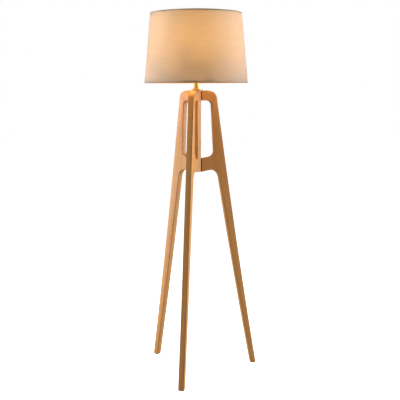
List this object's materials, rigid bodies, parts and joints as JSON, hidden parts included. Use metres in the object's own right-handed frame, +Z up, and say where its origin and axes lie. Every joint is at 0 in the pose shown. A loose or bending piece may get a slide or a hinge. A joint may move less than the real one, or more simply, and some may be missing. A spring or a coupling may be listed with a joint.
{
  "type": "floor lamp",
  "caption": "Floor lamp with slotted oak legs round a six-sided post, a brass neck and lampholder, and a tapered linen shade that turns on its fitter.",
  "frame": {"origin": "on the floor, in the middle of the bounding box seen from above; the lamp axis stands 28.1 mm towards +Y", "axes": "+Z up along the lamp axis; -Y towards the front leg; the other two legs point 30 degrees and 150 degrees round from +X"},
  "size_m": [0.4986, 0.5062, 1.5885],
  "materials": {
    "oak": "clear satin oil over straight-grained oak",
    "felt": "pressed wool felt",
    "brass": "polished and lacquered",
    "steel": "zinc plated",
    "bakelite": "moulded, satin",
    "opal_glass": "opal white, smooth",
    "wire": "white epoxy coating",
    "liner": "translucent styrene film",
    "linen": "plain-woven slub linen"
  },
  "bodies": {
    "stand": {"front_leg_board": "oak", "right_leg_board": "oak", "left_leg_board": "oak", "centre_post": "oak", "front_top_dowel": "oak", "front_bridge_dowel": "oak", "right_top_dowel": "oak", "right_bridge_dowel": "oak", "left_top_dowel": "oak", "left_bridge_dowel": "oak", "front_foot_pad": "felt", "right_foot_pad": "felt", "left_foot_pad": "felt", "threaded_rod": "steel", "lower_washer": "steel", "lower_nut": "steel", "upper_washer": "steel", "upper_nut": "steel", "cord_bush": "bakelite", "socket_cup": "bakelite", "cap_disc": "brass", "neck_tube": "brass", "holder_cap": "brass", "holder_skirt": "brass", "centre_contact": "brass", "front_terminal_screw": "brass", "rear_terminal_screw": "brass", "screw_shell": "brass"},
    "shade": {"fitter_ring": "wire", "shade_spoke_1": "wire", "shade_spoke_2": "wire", "shade_spoke_3": "wire", "lower_wire_ring": "wire", "upper_wire_ring": "wire", "shade_liner": "liner", "shade_cloth": "linen", "lower_trim": "linen", "upper_trim": "linen"},
    "shade_ring": {"shade_ring": "bakelite"},
    "bulb": {"bulb_contact": "brass", "bulb_insulator": "bakelite", "bulb_cap": "steel", "bulb_glass": "opal_glass"},
    "switch_bar": {"switch_bar": "bakelite"}
  },
  "joints": [
    {"name": "shade_turn", "type": "hinge", "parent": "stand", "child": "shade", "pos_m": [0, 0.0281, 1.401], "axis": [0, 0, 1], "continuous": true},
    {"name": "shade_ring_turn", "type": "hinge", "parent": "stand", "child": "shade_ring", "pos_m": [0, 0.0281, 1.407], "axis": [0, 0, 1], "range_deg": [0, 1080]},
    {"name": "bulb_unscrew", "type": "hinge", "parent": "stand", "child": "bulb", "pos_m": [0, 0.0281, 1.413], "axis": [0, 0, 1], "range_deg": [0, 1080]},
    {"name": "switch_push", "type": "slide", "parent": "stand", "child": "switch_bar", "axis": [1, 0, 0], "range_m": [-0.006, 0]}
  ]
}
